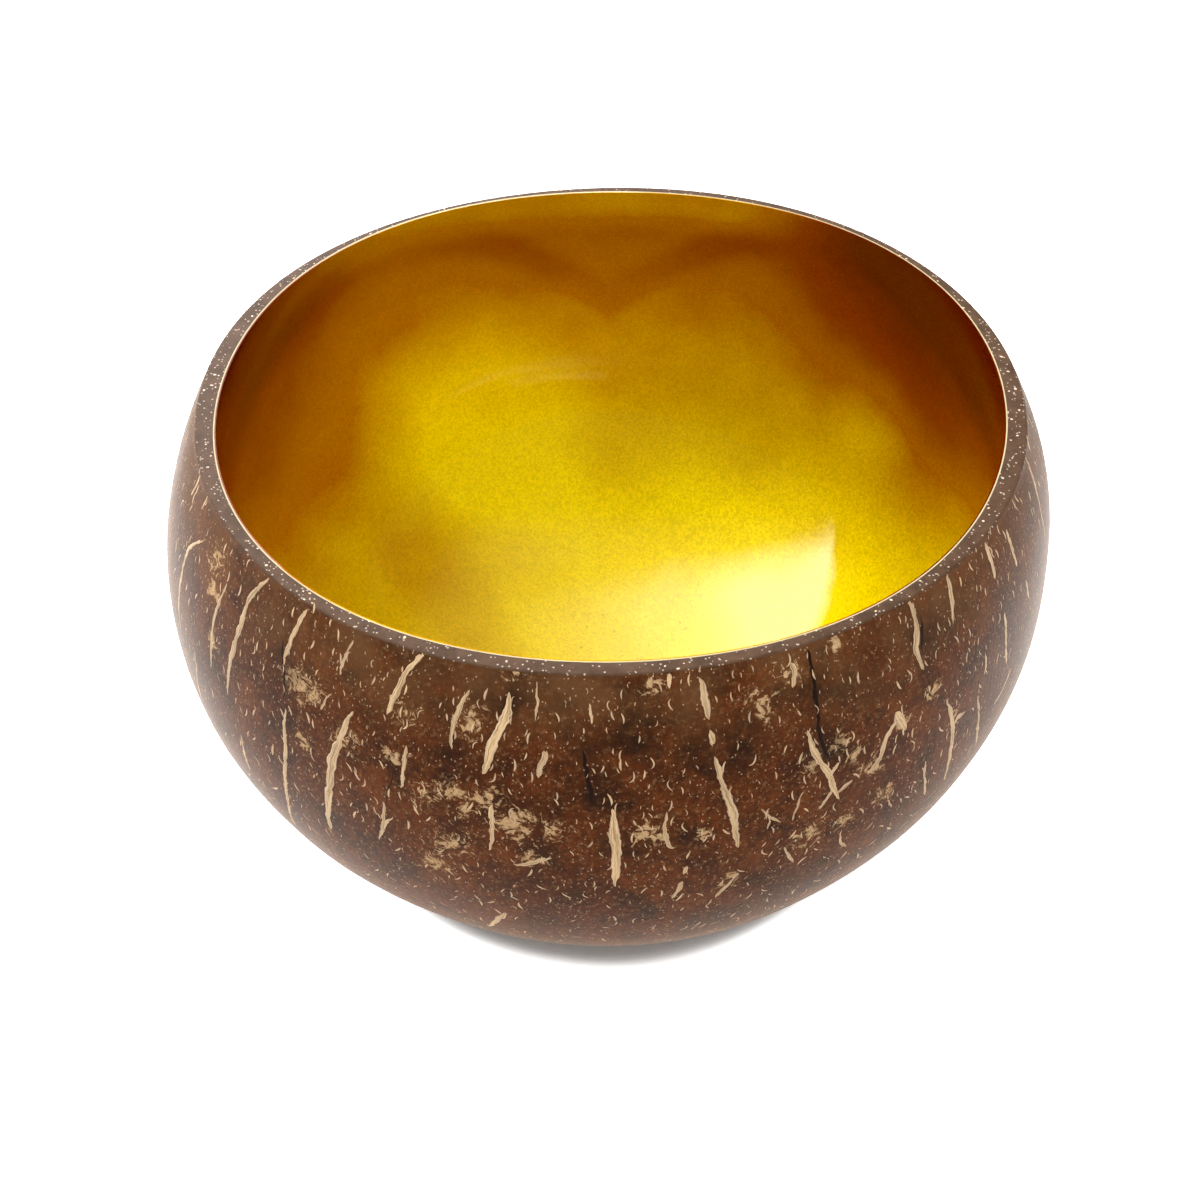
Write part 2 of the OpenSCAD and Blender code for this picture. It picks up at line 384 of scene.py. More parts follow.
def add_node(tree, kind, *inputs, out=0, **settings):
    """Adds a node of a kind, with its settings. Inputs are values or sockets in the node's own order, and
    the last may be a dictionary of more by name. An output comes back, or the node if it has none."""
    kind, own_settings = (kind, {}) if isinstance(kind, str) else kind
    node = tree.nodes.new(kind)
    for name, value in {**own_settings, **settings}.items():
        setattr(node, name, value)
    named = inputs[-1] if inputs and isinstance(inputs[-1], dict) else {}
    fed = list(zip((s for s in node.inputs if s.enabled), inputs[:-1] if named else inputs))
    for socket, value in fed + [(node.inputs[name], value) for name, value in named.items()]:
        if isinstance(value, bpy.types.NodeSocket):
            tree.links.new(value, socket)
        else:
            socket.default_value = value
    outputs = [s for s in node.outputs if s.enabled]
    return (node.outputs[out] if isinstance(out, str) else outputs[out]) if outputs else node


def new_tree(name, **inputs):
    """A Geometry Nodes tree with named inputs: gives the tree, its node adder and its inputs by name."""
    tree = bpy.data.node_groups.new(name, "GeometryNodeTree")
    tree.interface.new_socket("Geometry", in_out="INPUT", socket_type="NodeSocketGeometry")
    tree.interface.new_socket("Geometry", in_out="OUTPUT", socket_type="NodeSocketGeometry")
    for label, kind in inputs.items():
        tree.interface.new_socket(label, in_out="INPUT", socket_type="NodeSocket" + kind)
    entry = tree.nodes.new("NodeGroupInput")
    return tree, functools.partial(add_node, tree), {s.name: s for s in entry.outputs if s.name}


def end_tree(tree, geometry, *finishes):
    """Ends a tree in Realize Instances and one Set Material for each pair of selection and material."""
    geometry = add_node(tree, "GeometryNodeRealizeInstances", geometry)
    for selection, material in finishes:
        geometry = add_node(tree, "GeometryNodeSetMaterial", geometry, selection, material)
    add_node(tree, "NodeGroupOutput", geometry)
    return tree


def grow(name, source, tree, values):
    """Runs a mesh through a Geometry Nodes tree and keeps the result as a plain piece."""
    seed_piece = bpy.data.objects.new(name + "_source", source)
    bpy.context.scene.collection.objects.link(seed_piece)
    modifier = seed_piece.modifiers.new(tree.name, "NODES")
    modifier.node_group = tree
    for item in tree.interface.items_tree:
        if item.item_type == "SOCKET" and item.in_out == "INPUT" and item.name in values:
            modifier[item.identifier] = values[item.name]
    bpy.context.view_layer.update()
    graph = bpy.context.evaluated_depsgraph_get()
    mesh = bpy.data.meshes.new_from_object(
        seed_piece.evaluated_get(graph), preserve_all_data_layers=True, depsgraph=graph)
    seed_piece.modifiers.remove(modifier)
    bpy.data.objects.remove(seed_piece)
    mesh.name = name
    piece = bpy.data.objects.new(name, mesh)
    bpy.context.scene.collection.objects.link(piece)
    return piece


def keep(piece, slot, *nodes):
    """Every piece rides on the bowl's one body and stands for its node, if any; its slot is not used."""
    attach(piece, "root")
    if nodes:
        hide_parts(*nodes)
    return piece


def skins(form):
    """Outside, bare inside, coated inside and gold inside: radius at the rim and at the girth, lowest
    height, and how much shell lies outside the skin at the rim."""
    rim, girth = form.rim_w / 2, form.girth_w / 2
    found = [(rim, girth, -form.sanded_off, 0.0)]
    found.append((rim - form.edge_t, girth - form.girth_t, form.foot_t, form.edge_t))
    for coat in (form.undercoat_t, form.lacquer_t):
        at_rim, at_girth, low, depth = found[-1]
        found.append((at_rim - coat, at_girth - coat, low + coat, depth))
    return found


def mean_radius(form, skin, z):
    """Radius of a skin without its lobes."""
    at_rim, at_girth, low, _ = skin
    girth_z = form.bowl_h - form.girth_drop
    if z >= girth_z:
        risen = (z - girth_z) / form.girth_drop
        return math.sqrt(at_girth ** 2 - (at_girth ** 2 - at_rim ** 2) * risen ** 2)
    sunk = min(1.0, (girth_z - z) / (girth_z - low))
    return at_girth * (1 - sunk ** form.lower_fullness) ** (1 / form.lower_fullness)


def station(radius, z, level=None, depth=0.0, inset=0.0, uneven=0.0, crease=False, sawn=False):
    """One ring of a skin. It has the lobes of the height level, and sawn marks the strip that ends at it."""
    return {"radius": radius, "z": z, "level": z if level is None else level, "depth": depth, "inset": inset,
            "uneven": uneven, "crease": crease, "sawn": sawn}


def fade(value, start, end):
    """0 before start, 1 after end and smooth between them."""
    share = min(1.0, max(0.0, (value - start) / (end - start)))
    return share * share * (3 - 2 * share)


def wall_stations(form, skin, rings, top, quiet=True):
    """Rings of one skin from its pole, or its foot, up to a height: so many below the girth and above it."""
    below, above = rings
    girth_z, low = form.bowl_h - form.girth_drop, skin[2]
    last = math.asin(girth_z / (girth_z - low)) if low < 0 else math.pi / 2
    heights = [girth_z - (girth_z - low) * math.sin(last * k / below) for k in range(below, 0, -1)]
    heights += [girth_z + (top - girth_z) * k / above for k in range(above + 1)]
    found = []
    for k, z in enumerate(heights):
        radius = 0.0 if low > 0 and k == 0 else mean_radius(form, skin, z)
        uneven = 0.0 if quiet else fade(form.bowl_h - z, *RIM_FADE) * fade(z, *FOOT_FADE)
        found.append(station(radius, z, depth=skin[3], uneven=uneven))
    return found


def write_layer(mesh, name, values, kind="FLOAT", domain="POINT"):
    """Keeps one value for each point, or each face, of a mesh."""
    mesh.attributes.new(name, kind, domain).data.foreach_set("value", values)


def lathe(name, stations, around):
    """Spins stations round the axis into one closed skin, with a single point at each pole."""
    points, rows, faces, sawn = [], [], [], []
    values = {key: [] for key in ("radius", "level", "depth", "inset", "uneven", "bearing")}
    row_of = []
    for row, ring in enumerate(stations):
        rows.append([])
        for i in range(around if ring["radius"] > 0 else 1):
            turn = 2 * math.pi * i / around
            rows[-1].append(len(points))
            row_of.append(row)
            points.append((ring["radius"] * math.cos(turn), ring["radius"] * math.sin(turn), ring["z"]))
            for key in values:
                values[key].append(turn if key == "bearing" else ring[key])
    for (low, high), ring in zip(zip(rows, rows[1:]), stations[1:]):
        for i in range(around):
            j = (i + 1) % around
            corners = (low[i % len(low)], low[j % len(low)], high[j % len(high)], high[i % len(high)])
            faces.append(tuple(dict.fromkeys(corners)))
            sawn.append(ring["sawn"])
    mesh = bpy.data.meshes.new(name)
    mesh.from_pydata(points, [], faces)
    for key, row in values.items():
        write_layer(mesh, key, row)
    write_layer(mesh, "sawn", sawn, "BOOLEAN", "FACE")
    for edge in mesh.edges:
        first, second = (row_of[v] for v in edge.vertices)
        edge.use_edge_sharp = first == second and stations[first]["crease"]
    mesh.validate()
    return mesh


def lobed_skin_tree():
    """A nut's slow lobes: waves of one to four crests at rim and girth, and in the wall between the skins."""
    waves = {
        f"{where} {what} {n}": "Float" for where in ("Rim", "Girth", "Wall") for n in (1, 2, 3, 4)
        for what in ("share", "bearing")}
    tree, add, given = new_tree("lobed_skin", **{
        "Girth height": "Float", "Rim height": "Float", "Unevenness": "Float", "Swell": "Float",
        "Polished": "Material", "Sawn": "Material"}, **waves)
    value = {key: add(NAMED, key) for key in ("radius", "level", "depth", "inset", "uneven", "bearing")}

    def lobes(where):
        """Sum of the four waves of one place."""
        total = 0.0
        for n in (1, 2, 3, 4):
            turned = add(SUBTRACT, value["bearing"], given[f"{where} bearing {n}"])
            crest = add(COSINE, add(MULTIPLY, turned, float(n)))
            total = add(MULTIPLY_ADD, crest, given[f"{where} share {n}"], total)
        return total

    near_rim = add(SMOOTH_RANGE, value["level"], given["Girth height"], given["Rim height"])
    share = add("ShaderNodeMix", near_rim, lobes("Girth"), lobes("Rim"))
    radius = add(MULTIPLY_ADD, value["radius"], share, value["radius"])
    cut_in = add(MULTIPLY, add(MULTIPLY, near_rim, value["depth"]), lobes("Wall"))
    radius = add(SUBTRACT, radius, cut_in)
    radius = add(SUBTRACT, radius, value["inset"])
    radius = add(MAXIMUM, radius, 0.0)
    height = add(SEPARATE, add("GeometryNodeInputPosition"), out=2)
    east = add(MULTIPLY, add(COSINE, value["bearing"]), radius)
    north = add(MULTIPLY, add(SINE, value["bearing"]), radius)
    lobed = add(SET_POSITION, given["Geometry"], {"Position": add(COMBINE, east, north, height)})
    per_swell = add(DIVIDE, 1.0, given["Swell"])
    swell = add(NOISE, add("GeometryNodeInputPosition"), per_swell, 2.0, 0.4)
    swell = add(RANGE, swell, 0.25, 0.75, -1.0, 1.0)
    push = add(MULTIPLY, add(MULTIPLY, swell, given["Unevenness"]), value["uneven"])
    offset = add(V_SCALE, add("GeometryNodeInputNormal"), push)
    swelled = add(SET_POSITION, lobed, {"Offset": offset})
    smooth = add(SHADE_SMOOTH, swelled)
    sawn = add(NAMED, "sawn", data_type="BOOLEAN")
    return end_tree(tree, smooth, (True, given["Polished"]), (sawn, given["Sawn"]))


def lobed(name, form, stations, polished, sawn):
    """Makes a skin from its stations and gives it the nut's lobes."""
    values = {"Girth height": form.bowl_h - form.girth_drop, "Rim height": form.bowl_h,
              "Unevenness": form.unevenness, "Swell": form.swell, "Polished": polished, "Sawn": sawn}
    for where, high, turned in (("Rim", form.rim_shares, form.rim_bearings),
                                ("Girth", form.girth_shares, form.girth_bearings),
                                ("Wall", form.wall_shares, form.wall_bearings)):
        for n in (1, 2, 3, 4):
            values[f"{where} share {n}"] = high[n - 1]
            values[f"{where} bearing {n}"] = turned[n - 1]
    tree = bpy.data.node_groups.get("lobed_skin") or lobed_skin_tree()
    return grow(name, lathe(name, stations, form.around), tree, values)


def object_millimetres(add):
    """The point of the surface in the object's own frame, in millimetres."""
    return add(V_SCALE, add("ShaderNodeTexCoord", out="Object"), 1 / MM)


def new_material(name):
    """A material with an empty tree, and the adder of nodes to it."""
    material = bpy.data.materials.new(name)
    material.use_nodes = True
    material.node_tree.nodes.clear()
    return material, functools.partial(add_node, material.node_tree)


def clouds(add, place, millimetres, detail, rough, low, high):
    """Clouds of a real size: their share runs from 0 to 1 between a low and a high level of the noise."""
    return add(RANGE, add(NOISE, place, 1 / millimetres, detail, rough), low, high)


def polished_coconut_shell(look):
    """Coconut shell, scraped, sanded and brushed with clear gloss varnish. It is deep brown, mottled with
    red and near black, grained along the nut's meridians, and greyer where some outer skin was left."""
    material, add = new_material("polished_coconut_shell")
    place = object_millimetres(add)
    height = add(SEPARATE, place, out=2)
    # Grain is drawn out some 14 times along the meridians, so height counts for little there
    round_nut = add(V_SCALE, add(V_NORMALIZE, add(V_MULTIPLY, place, (1.0, 1.0, 0.0))), GRAIN_R)
    along = add(V_ADD, add(V_MULTIPLY, place, (0.0, 0.0, 0.07)), round_nut)
    grain = clouds(add, along, 0.8, 4.0, 0.7, 0.3, 0.7)
    tone = add(BLEND, clouds(add, place, 14.0, 5.0, 0.62, 0.35, 0.65), look.brown, look.red)
    tone = add(BLEND, clouds(add, place, 6.0, 5.0, 0.7, 0.45, 0.68), tone, look.dark)
    tone = add(BLEND, add(MULTIPLY, grain, 0.4), tone, look.dark)
    # Short cut fibres stay below the surface and mottle it finely, darker and lighter
    mottle = clouds(add, place, 0.9, 4.0, 0.75, 0.48, 0.62)
    tone = add(BLEND, add(MULTIPLY, mottle, 0.55), tone, look.dark)
    frayed = clouds(add, add(V_ADD, place, (31.0, 17.0, 5.0)), 0.7, 4.0, 0.75, 0.53, 0.68)
    tone = add(BLEND, add(MULTIPLY, frayed, 0.3), tone, look.husk)
    # The grey film is what is left of the outer skin: mostly under the rim and near the foot
    under_rim = add(SMOOTH_RANGE, height, 64.0, 79.0)
    near_foot = add(SMOOTH_RANGE, height, 26.0, 6.0)
    left_over = clouds(add, place, 9.0, 5.0, 0.65, 0.3, 0.62)
    worn = add(MULTIPLY, add(MAXIMUM, under_rim, near_foot), left_over)
    tone = add(BLEND, add(MULTIPLY, worn, 0.75), tone, look.film)
    # Husk left in fuzzy patches, broken up by its own short fibres
    husk = add(ATTRIBUTE, attribute_name="husk", out=2)
    ragged = add(NOISE, place, 1 / 1.7, 6.0, 0.74, {"Distortion": 1.2})
    tuft = add(RANGE, add(MULTIPLY_ADD, husk, 0.17, ragged), 0.61, 0.67, 0.0, 0.9)
    tuft = add(MULTIPLY, tuft, add(RANGE, husk, 0.03, 0.12))
    fuzz = add(BLEND, clouds(add, place, 0.4, 3.0, 0.7, 0.35, 0.65), look.husk, look.streak)
    tone = add(BLEND, tuft, tone, fuzz)
    stain = add(ATTRIBUTE, attribute_name="stain", out=2)
    stain = add(MULTIPLY, stain, clouds(add, place, 3.0, 3.0, 0.6, 0.25, 0.6))
    tone = add(BLEND, add(MULTIPLY, stain, 0.85), tone, look.crack)
    # Fibre dust, about 0.15 mm wide
    dust = add(RANGE, add(VORONOI, place, 1 / 0.9), 0.16, 0.1, 0.0, 0.5)
    tone = add(BLEND, dust, tone, look.fleck)
    rough = add(RANGE, add(ADD, worn, tuft), 0.0, 1.0, 0.3, 0.5)
    relief = add(ADD, grain, clouds(add, place, 0.35, 2.0, 0.5, 0.3, 0.7))
    normal = add(BUMP, {"Strength": 0.35, "Distance": 0.05 * MM, "Height": relief})
    shader = add(PRINCIPLED, {
        "Base Color": tone, "Roughness": rough, "IOR": 1.4, "Specular IOR Level": 0.08,
        "Specular Tint": (1.0, 0.9, 0.76, 1.0), "Normal": normal,
        "Sheen Weight": 0.1, "Sheen Roughness": 0.2, "Sheen Tint": (1.0, 0.86, 0.7, 1.0)})
    add(SURFACE, shader)
    return material


def sawn_coconut_shell(look):
    """The sanded cut of the shell, bare under a thin varnish. It is a duller grey brown, with the darker and
    lighter layers of the shell showing as clouds and the cut ends of its fibres as pale specks."""
    material, add = new_material("sawn_coconut_shell")
    place = object_millimetres(add)
    fine = clouds(add, place, 0.35, 3.0, 0.6, 0.35, 0.7)
    tone = add(BLEND, clouds(add, place, 3.0, 5.0, 0.65, 0.35, 0.65), look.cut, look.cut_dark)
    tone = add(BLEND, add(MULTIPLY, fine, 0.35), tone, look.film)
    specks = add(RANGE, add(VORONOI, place, 1 / 0.8), 0.22, 0.12, 0.0, 0.5)
    tone = add(BLEND, specks, tone, look.fibre_end)
    normal = add(BUMP, {"Strength": 0.4, "Distance": 0.04 * MM, "Height": fine})
    shader = add(PRINCIPLED, {
        "Base Color": tone, "Roughness": 0.45, "IOR": 1.5, "Specular IOR Level": 0.09, "Normal": normal})
    add(SURFACE, shader)
    return material


def husk_fibre(name, body, line, edge, gloss):
    """Husk fibre, sanded flush and varnished. It is tan and dull, with finer fibres that run along it and an
    edge that the varnish makes paler. It reads how far a point lies across and along its own streak."""
    material, add = new_material(name)
    across, along, tone_share = (
        add(ATTRIBUTE, attribute_name=layer, out=2) for layer in ("across", "along", "tone"))
    along_mm = add(MULTIPLY, along, 1 / MM)
    # Three or four finer fibres lie side by side, each drawn out over 4.5 mm and unlike the next streak's
    strand = add(COMBINE, add(MULTIPLY, across, 3.2), add(MULTIPLY, along_mm, 0.22),
                 add(MULTIPLY, tone_share, 40.0))
    lines = add(RANGE, add(NOISE, strand, 1.0, 3.0, 0.6), 0.45, 0.62)
    tone = add(BLEND, add(MULTIPLY, lines, 0.85), body, line)
    rim = add(RANGE, add(ABSOLUTE, across), 0.55, 0.95, 0.0, 0.55)
    tone = add(BLEND, rim, tone, edge)
    tone = add(V_SCALE, tone, add(RANGE, tone_share, 0.0, 1.0, 0.85, 1.1))
    normal = add(BUMP, {"Strength": 0.4, "Distance": 0.03 * MM, "Height": lines})
    shader = add(PRINCIPLED, {
        "Base Color": tone, "Roughness": 0.42, "IOR": 1.5, "Specular IOR Level": gloss, "Normal": normal})
    add(SURFACE, shader)
    return material


def sanded_primer(finish):
    """Cream filler primer, sprayed and sanded flush at the rim: matt, with the sanding's fine mottle."""
    material, add = new_material("sanded_cream_primer")
    mottle = add(NOISE, object_millimetres(add), 1 / 2.5, 4.0)
    tone = add(V_SCALE, finish.cream[:3], add(RANGE, mottle, 0.3, 0.7, 0.8, 1.05))
    normal = add(BUMP, {"Strength": 0.2, "Distance": 0.03 * MM, "Height": mottle})
    shader = add(PRINCIPLED, {
        "Base Color": tone, "Roughness": 0.6, "IOR": 1.5, "Specular IOR Level": 0.15, "Normal": normal})
    add(SURFACE, shader)
    return material


def lacquer_tone_and_painted_shade(add, place):
    """Painted shade and a little random tone: 0 where the lacquer is gold, 1 amber, up to 2.7 brown."""
    east, north, height = add(SEPARATE, place).node.outputs[:]
    # Painted shade: darker towards the rim, most of all on the sides
    toward_east = add(SEPARATE, add(V_NORMALIZE, add(V_MULTIPLY, place, (1.0, 1.0, 0.0))))
    aside = add(SMOOTH_RANGE, add(ABSOLUTE, add(ADD, toward_east, 0.12)), 0.45, 1.0)
    depth = add(RANGE, height, 18.0, 68.0, 0.0, 1.28)
    rise = add(RANGE, height, 38.0, 75.0, 0.45, 1.75)
    rise = add(MULTIPLY, rise, add(RANGE, height, 26.0, 44.0))
    depth = add(MULTIPLY_ADD, aside, rise, depth)
    # Painted shade low on the left
    painted_left_shade = add(RANGE, toward_east, -0.5, -0.8, 0.0, 0.45)
    depth = add(MULTIPLY_ADD, painted_left_shade, add(RANGE, height, 60.0, 36.0), depth)
    # Painted reflection: lighter in a band under the rim at the back
    thin = add(SMOOTH_RANGE, height, 69.0, 77.0, 0.0, -0.55)
    depth = add(MULTIPLY_ADD, thin, add(SUBTRACT, 1.0, aside), depth)
    # Painted highlights and painted shade in soft spots
    for middle, radius, share in PAINTED_LIGHT_AND_SHADE_SPOTS:
        spot = add(SMOOTH_RANGE, add(V_DISTANCE, place, middle), radius, radius / 4, 0.0, share)
        depth = add(SUBTRACT, depth, spot)
    # Painted shade in a dark band, whose line runs in arches 22 mm high round the wall, from 53 mm up
    arch = add(SINE, add(MULTIPLY, add(ARCTAN2, east, north), 2.37))
    arch = add(MULTIPLY_ADD, add(ABSOLUTE, arch), 22.0, 53.0)
    painted_band_gap = add(ABSOLUTE, add(SUBTRACT, height, arch))
    depth = add(ADD, depth, add(SMOOTH_RANGE, painted_band_gap, 7.0, 1.0, 0.0, 0.28))
    uneven = add(RANGE, add(NOISE, place, 1 / 16.0, 3.0, 0.5), 0.3, 0.7, -0.12, 0.12)
    return add(ADD, depth, uneven)


def gold_metallic_lacquer(finish):
    """Gold metallic lacquer, sprayed and clear coated, darkened by painted shade to amber, rust and brown up
    the walls and on the sides. Its flakes tilt a little each way and sparkle, and are drawn as coarse as 0.3
    mm to show. The clear coat mirrors the lamps with orange peel in their edges."""
    material, add = new_material("gold_metallic_lacquer")
    place = object_millimetres(add)
    depth = lacquer_tone_and_painted_shade(add, place)
    tone = add(BLEND, depth, finish.gold, finish.amber)
    tone = add(BLEND, add(SMOOTH_RANGE, depth, 1.0, 1.8), tone, finish.rust)
    tone = add(BLEND, add(RANGE, depth, 1.8, 2.7), tone, finish.brown)
    flakes = add(VORONOI, place, 1 / 0.3, out=1)
    stray, shade = add("ShaderNodeSeparateColor", flakes).node.outputs[:2]
    tone = add(V_SCALE, tone, add(RANGE, shade, 0.0, 1.0, 0.84, 1.1))
    # One flake in fifty stands far out of line
    tilt = add(V_SCALE, add(V_SUBTRACT, flakes, HALVES), add(RANGE, stray, 0.975, 0.98, 0.2, 0.9))
    facing = add("ShaderNodeNewGeometry", out="Normal")
    # Where the painted shade is deep, the coat mirrors less
    coat = add(RANGE, depth, 1.0, 2.2, 1.0, 0.35)
    peel = add(BUMP, {
        "Strength": 0.25, "Distance": 0.06 * MM, "Height": add(NOISE, place, 1 / 3.5, 2.0, 0.4)})
    shader = add(PRINCIPLED, {
        "Base Color": tone, "Metallic": 0.2, "Roughness": 0.5, "Specular IOR Level": 0.0,
        "Normal": add(V_NORMALIZE, add(V_ADD, facing, tilt)),
        "Coat Weight": coat, "Coat Roughness": 0.04, "Coat IOR": 1.5, "Coat Normal": peel})
    add(SURFACE, shader)
    return material


def camera_axes(studio):
    """Right, up and back of the camera."""
    fall, pan = studio.camera_fall, studio.camera_pan
    level = Vector((0.0, -math.cos(fall), math.sin(fall)))
    side = Vector((1.0, 0.0, 0.0))
    right = side * math.cos(pan) + level * math.sin(pan)
    back = level * math.cos(pan) - side * math.sin(pan)
    return right, back.cross(right), back


def surface_under(studio, tree, x, y):
    """The point of a surface that a pixel of the photograph shows, or nothing where it misses."""
    right, up, back = camera_axes(studio)
    per_pixel = FILM_SIDE / studio.lens / PHOTO_SIDE
    ray = right * (x - PHOTO_SIDE / 2) * per_pixel - up * (y - PHOTO_SIDE / 2) * per_pixel - back
    return tree.ray_cast(Vector(studio.camera_place), ray.normalized())[0]


def surface_tree(piece):
    """A piece's faces, ready for rays."""
    mesh = piece.data
    return BVHTree.FromPolygons([v.co[:] for v in mesh.vertices], [tuple(p.vertices) for p in mesh.polygons])


def paint_spots(piece, layer, spots):
    """Keeps how strongly soft round spots cover each point of a piece, as an attribute for its material."""
    values = []
    for vertex in piece.data.vertices:
        cover = 0.0
        for middle, radius in spots:
            apart = (vertex.co - middle).length_squared / radius ** 2
            if apart < TOO_FAINT:
                cover = max(cover, math.exp(-apart))
        values.append(cover)
    write_layer(piece.data, layer, values)


def bowl_point(form, bearing, z):
    """A point close to the outside of the bowl."""
    radius = mean_radius(form, skins(form)[0], z)
    return Vector((radius * math.cos(bearing), radius * math.sin(bearing), z))


def out_of_view(share):
    """A bearing on the side that the photograph hides, by its share of the way round it."""
    first, last = HIDDEN_BEARINGS
    return math.radians(first + (last - first) * share)


class BOWL_OT_shell(bpy.types.Operator):
    """Makes the sawn shell, with its husk patches and stains"""
    bl_idname = "bowl.shell"
    bl_label = "Coconut shell"

    def execute(self, context):
        form, look, studio = context.scene.bowl_form, context.scene.shell_finish, context.scene.bowl_studio
        outside, bare = skins(form)[:2]
        ease_z = form.bowl_h - form.edge_ease
        side = wall_stations(form, outside, SHELL_RINGS, ease_z, quiet=False)
        side[0]["crease"] = side[0]["sawn"] = True
        rings = [station(side[0]["radius"] * k / FOOT_RINGS, 0.0, sawn=True) for k in range(FOOT_RINGS)]
        rings += side
        # The sander took the varnish off the upper half of the eased edge
        for k in range(1, EASE_RINGS + 1):
            turn = math.pi / 2 * k / EASE_RINGS
            rings.append(station(
                mean_radius(form, outside, ease_z), ease_z + form.edge_ease * math.sin(turn), level=ease_z,
                inset=form.edge_ease * (1 - math.cos(turn)), sawn=k > EASE_RINGS // 2))
        inner = wall_stations(form, bare, HIDDEN_RINGS, form.bowl_h)
        inner[-1]["crease"] = inner[-1]["sawn"] = True
        rings += inner[::-1]
        polished, sawn = polished_coconut_shell(look), sawn_coconut_shell(look)
        piece = lobed("coconut_shell_skin", form, rings, polished, sawn)
        faces = surface_tree(piece)
        chance = random.Random(context.scene.fibre_form.seed)
        for layer, table, hidden in (
                ("husk", HUSK_PATCHES, HIDDEN_PATCHES), ("stain", DARK_STAINS, HIDDEN_STAINS)):
            spots = [(surface_under(studio, faces, x, y), radius * MM) for x, y, radius in table]
            for _ in range(hidden):
                near = bowl_point(form, out_of_view(chance.random()), chance.uniform(*SPOT_HEIGHTS) * MM)
                spots.append((faces.find_nearest(near)[0], chance.uniform(*SPOT_RADII) * MM))
            paint_spots(piece, layer, [spot for spot in spots if spot[0]])
        keep(piece, "coconut_shell", "coconut_shell")
        return {"FINISHED"}


def nib_tree():
    """Low round nibs on points, each lying on the lacquer and as wide as its point says."""
    tree, add, given = new_tree("lacquer_nibs", Lining="Object", Rise="Float", Lacquer="Material")
    lining = add("GeometryNodeObjectInfo", given["Lining"], out="Geometry")
    facing = add(NEAREST, lining, add("GeometryNodeInputNormal"))
    turned = add(ALIGN, {"Vector": facing}, axis="Z")
    wide = add(NAMED, "half_width")
    lens = add(SHADE_SMOOTH, add("GeometryNodeMeshUVSphere", 12, 6, 1.0))
    placed = add(INSTANCE, {
        "Points": add("GeometryNodeMeshToPoints", given["Geometry"]), "Instance": lens, "Rotation": turned,
        "Scale": add(COMBINE, wide, wide, add(MULTIPLY, wide, given["Rise"]))})
    return end_tree(tree, placed, (True, given["Lacquer"]))


class BOWL_OT_coats(bpy.types.Operator):
    """Makes the cream undercoat and the gold lacquer over it, with the nibs of dust in the lacquer"""
    bl_idname = "bowl.coats"
    bl_label = "Undercoat and lacquer"

    def execute(self, context):
        scene = context.scene
        form, finish, studio = scene.bowl_form, scene.lining_finish, scene.bowl_studio
        _, bare, coated, gold = skins(form)
        primer, lacquer = sanded_primer(finish), gold_metallic_lacquer(finish)
        for slot, outer, inner, inner_rings, material in (
                ("undercoat", bare, coated, HIDDEN_RINGS, primer),
                ("gold_lacquer", coated, gold, LACQUER_RINGS, lacquer)):
            rings = wall_stations(form, outer, HIDDEN_RINGS, form.bowl_h)
            facing = wall_stations(form, inner, inner_rings, form.bowl_h, quiet=slot == "undercoat")
            rings[-1]["crease"] = facing[-1]["crease"] = True
            piece = keep(lobed(slot + "_skin", form, rings + facing[::-1], material, material), slot, slot)
        faces = surface_tree(piece)
        chance = random.Random(finish.nib_seed)
        nibs = [(radius * MM, 0.0, [surface_under(studio, faces, x, y)]) for x, y, radius in LACQUER_NIBS]
        for _ in range(finish.small_nibs):
            spot = surface_under(studio, faces, chance.uniform(*NIB_COLUMNS), chance.uniform(*NIB_ROWS))
            nibs.append((chance.uniform(*NIB_RADII) * MM, 0.0, [spot] if spot else []))
        dust = grow("lacquer_nibs", polylines("lacquer_nibs", nibs), nib_tree(), {
            "Lining": piece, "Rise": NIB_RISE, "Lacquer": lacquer})
        keep(dust, "gold_lacquer")
        return {"FINISHED"}


